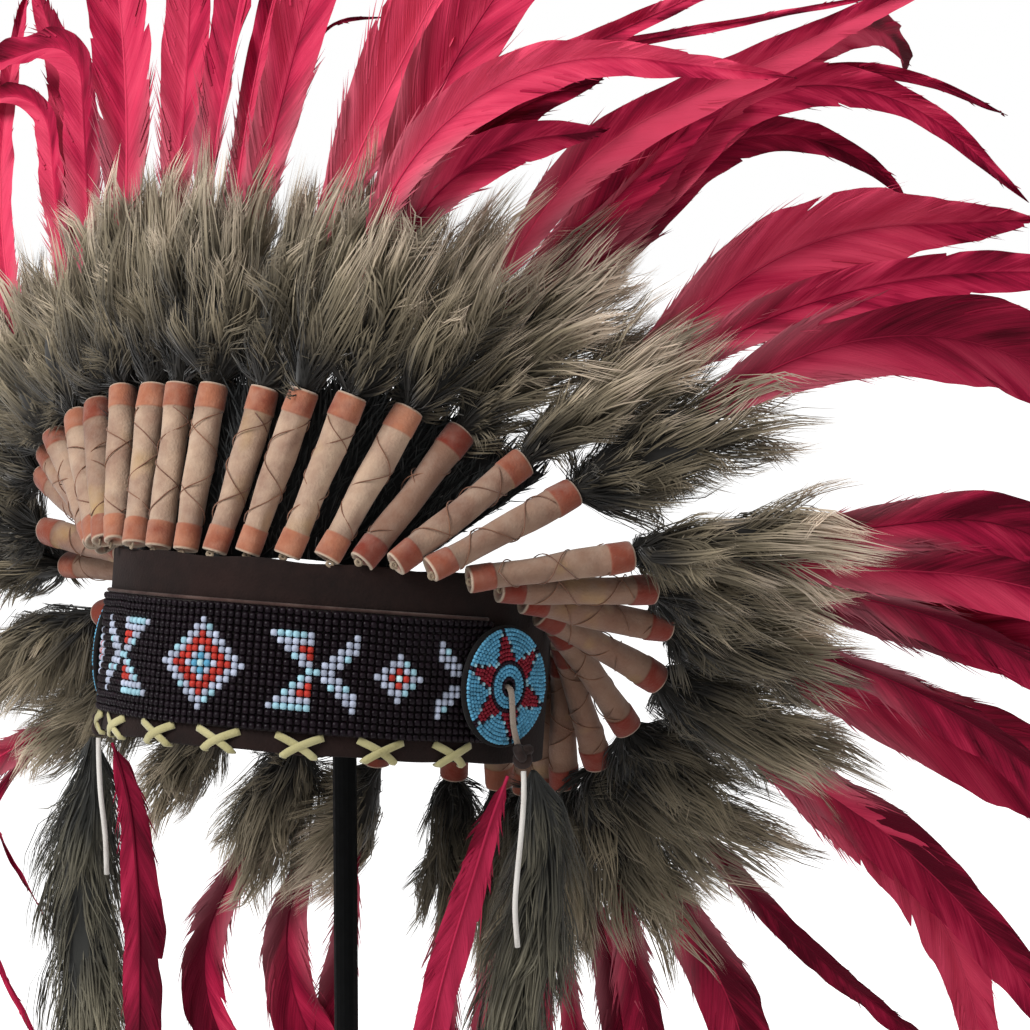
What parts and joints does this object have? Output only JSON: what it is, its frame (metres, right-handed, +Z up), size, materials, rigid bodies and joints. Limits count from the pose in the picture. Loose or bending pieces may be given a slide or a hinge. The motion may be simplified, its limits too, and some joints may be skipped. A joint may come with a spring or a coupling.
{
  "type": "feathered headdress on stand",
  "caption": "Feathered headdress with a beaded suede band, furred quills in a full ring and hanging drops, on a plain round-based post.",
  "frame": {"origin": "middle of the base's underside, on the floor, on the post's axis", "axes": "+Z up; the front of the headdress faces -Y; the wearer's left is +X"},
  "size_m": [0.7703, 0.359, 0.876],
  "materials": {
    "suede": "matt dark brown suede",
    "beads": "opaque glossy seed beads, near black with white, blue and red figures",
    "rosette_beads": "opaque glossy seed beads, sky blue with a dark red star, on black felt",
    "wrap_suede": "beige-pink suede with rust bands at both ends and brown thread",
    "feather": "dyed crimson-pink feather, slightly glossy",
    "fur": "long grey-brown fur, pale at the tips",
    "thong_leather": "white leather thong",
    "knot_leather": "dark brown leather, grey-beige strap",
    "stand_paint": "satin black paint on steel"
  },
  "bodies": {
    "root": {"headband": "suede", "bead_strip": "beads", "rosette_left": "rosette_beads", "rosette_right": "rosette_beads", "fur_backing": "fur", "quill_wrap_01": "wrap_suede", "quill_wrap_02": "wrap_suede", "quill_wrap_03": "wrap_suede", "quill_wrap_04": "wrap_suede", "quill_wrap_05": "wrap_suede", "quill_wrap_06": "wrap_suede", "quill_wrap_07": "wrap_suede", "quill_wrap_08": "wrap_suede", "quill_wrap_09": "wrap_suede", "quill_wrap_10": "wrap_suede", "quill_wrap_11": "wrap_suede", "quill_wrap_12": "wrap_suede", "quill_wrap_13": "wrap_suede", "quill_wrap_14": "wrap_suede", "quill_wrap_15": "wrap_suede", "quill_wrap_16": "wrap_suede", "quill_wrap_17": "wrap_suede", "quill_wrap_18": "wrap_suede", "quill_wrap_19": "wrap_suede", "quill_wrap_20": "wrap_suede", "quill_wrap_21": "wrap_suede", "quill_wrap_22": "wrap_suede", "quill_wrap_23": "wrap_suede", "quill_wrap_24": "wrap_suede", "quill_wrap_25": "wrap_suede", "quill_wrap_26": "wrap_suede", "quill_wrap_27": "wrap_suede", "quill_wrap_28": "wrap_suede", "quill_wrap_29": "wrap_suede", "quill_wrap_30": "wrap_suede", "quill_wrap_31": "wrap_suede", "quill_wrap_32": "wrap_suede", "quill_wrap_33": "wrap_suede", "quill_wrap_34": "wrap_suede", "plume_group_01": "feather", "plume_group_02": "feather", "plume_group_03": "feather", "plume_group_04": "feather", "plume_group_05": "feather", "plume_group_06": "feather", "plume_group_07": "feather", "plume_group_08": "feather", "plume_group_09": "feather", "plume_group_10": "feather", "plume_group_11": "feather", "knot_left": "knot_leather", "thong_left": "thong_leather", "fur_strip_left": "fur", "drop_feather_left": "feather", "knot_right": "knot_leather", "thong_right": "thong_leather", "fur_strip_right": "fur", "drop_feather_right": "feather", "stand_base": "stand_paint", "stand_post": "stand_paint"}
  },
  "joints": []
}
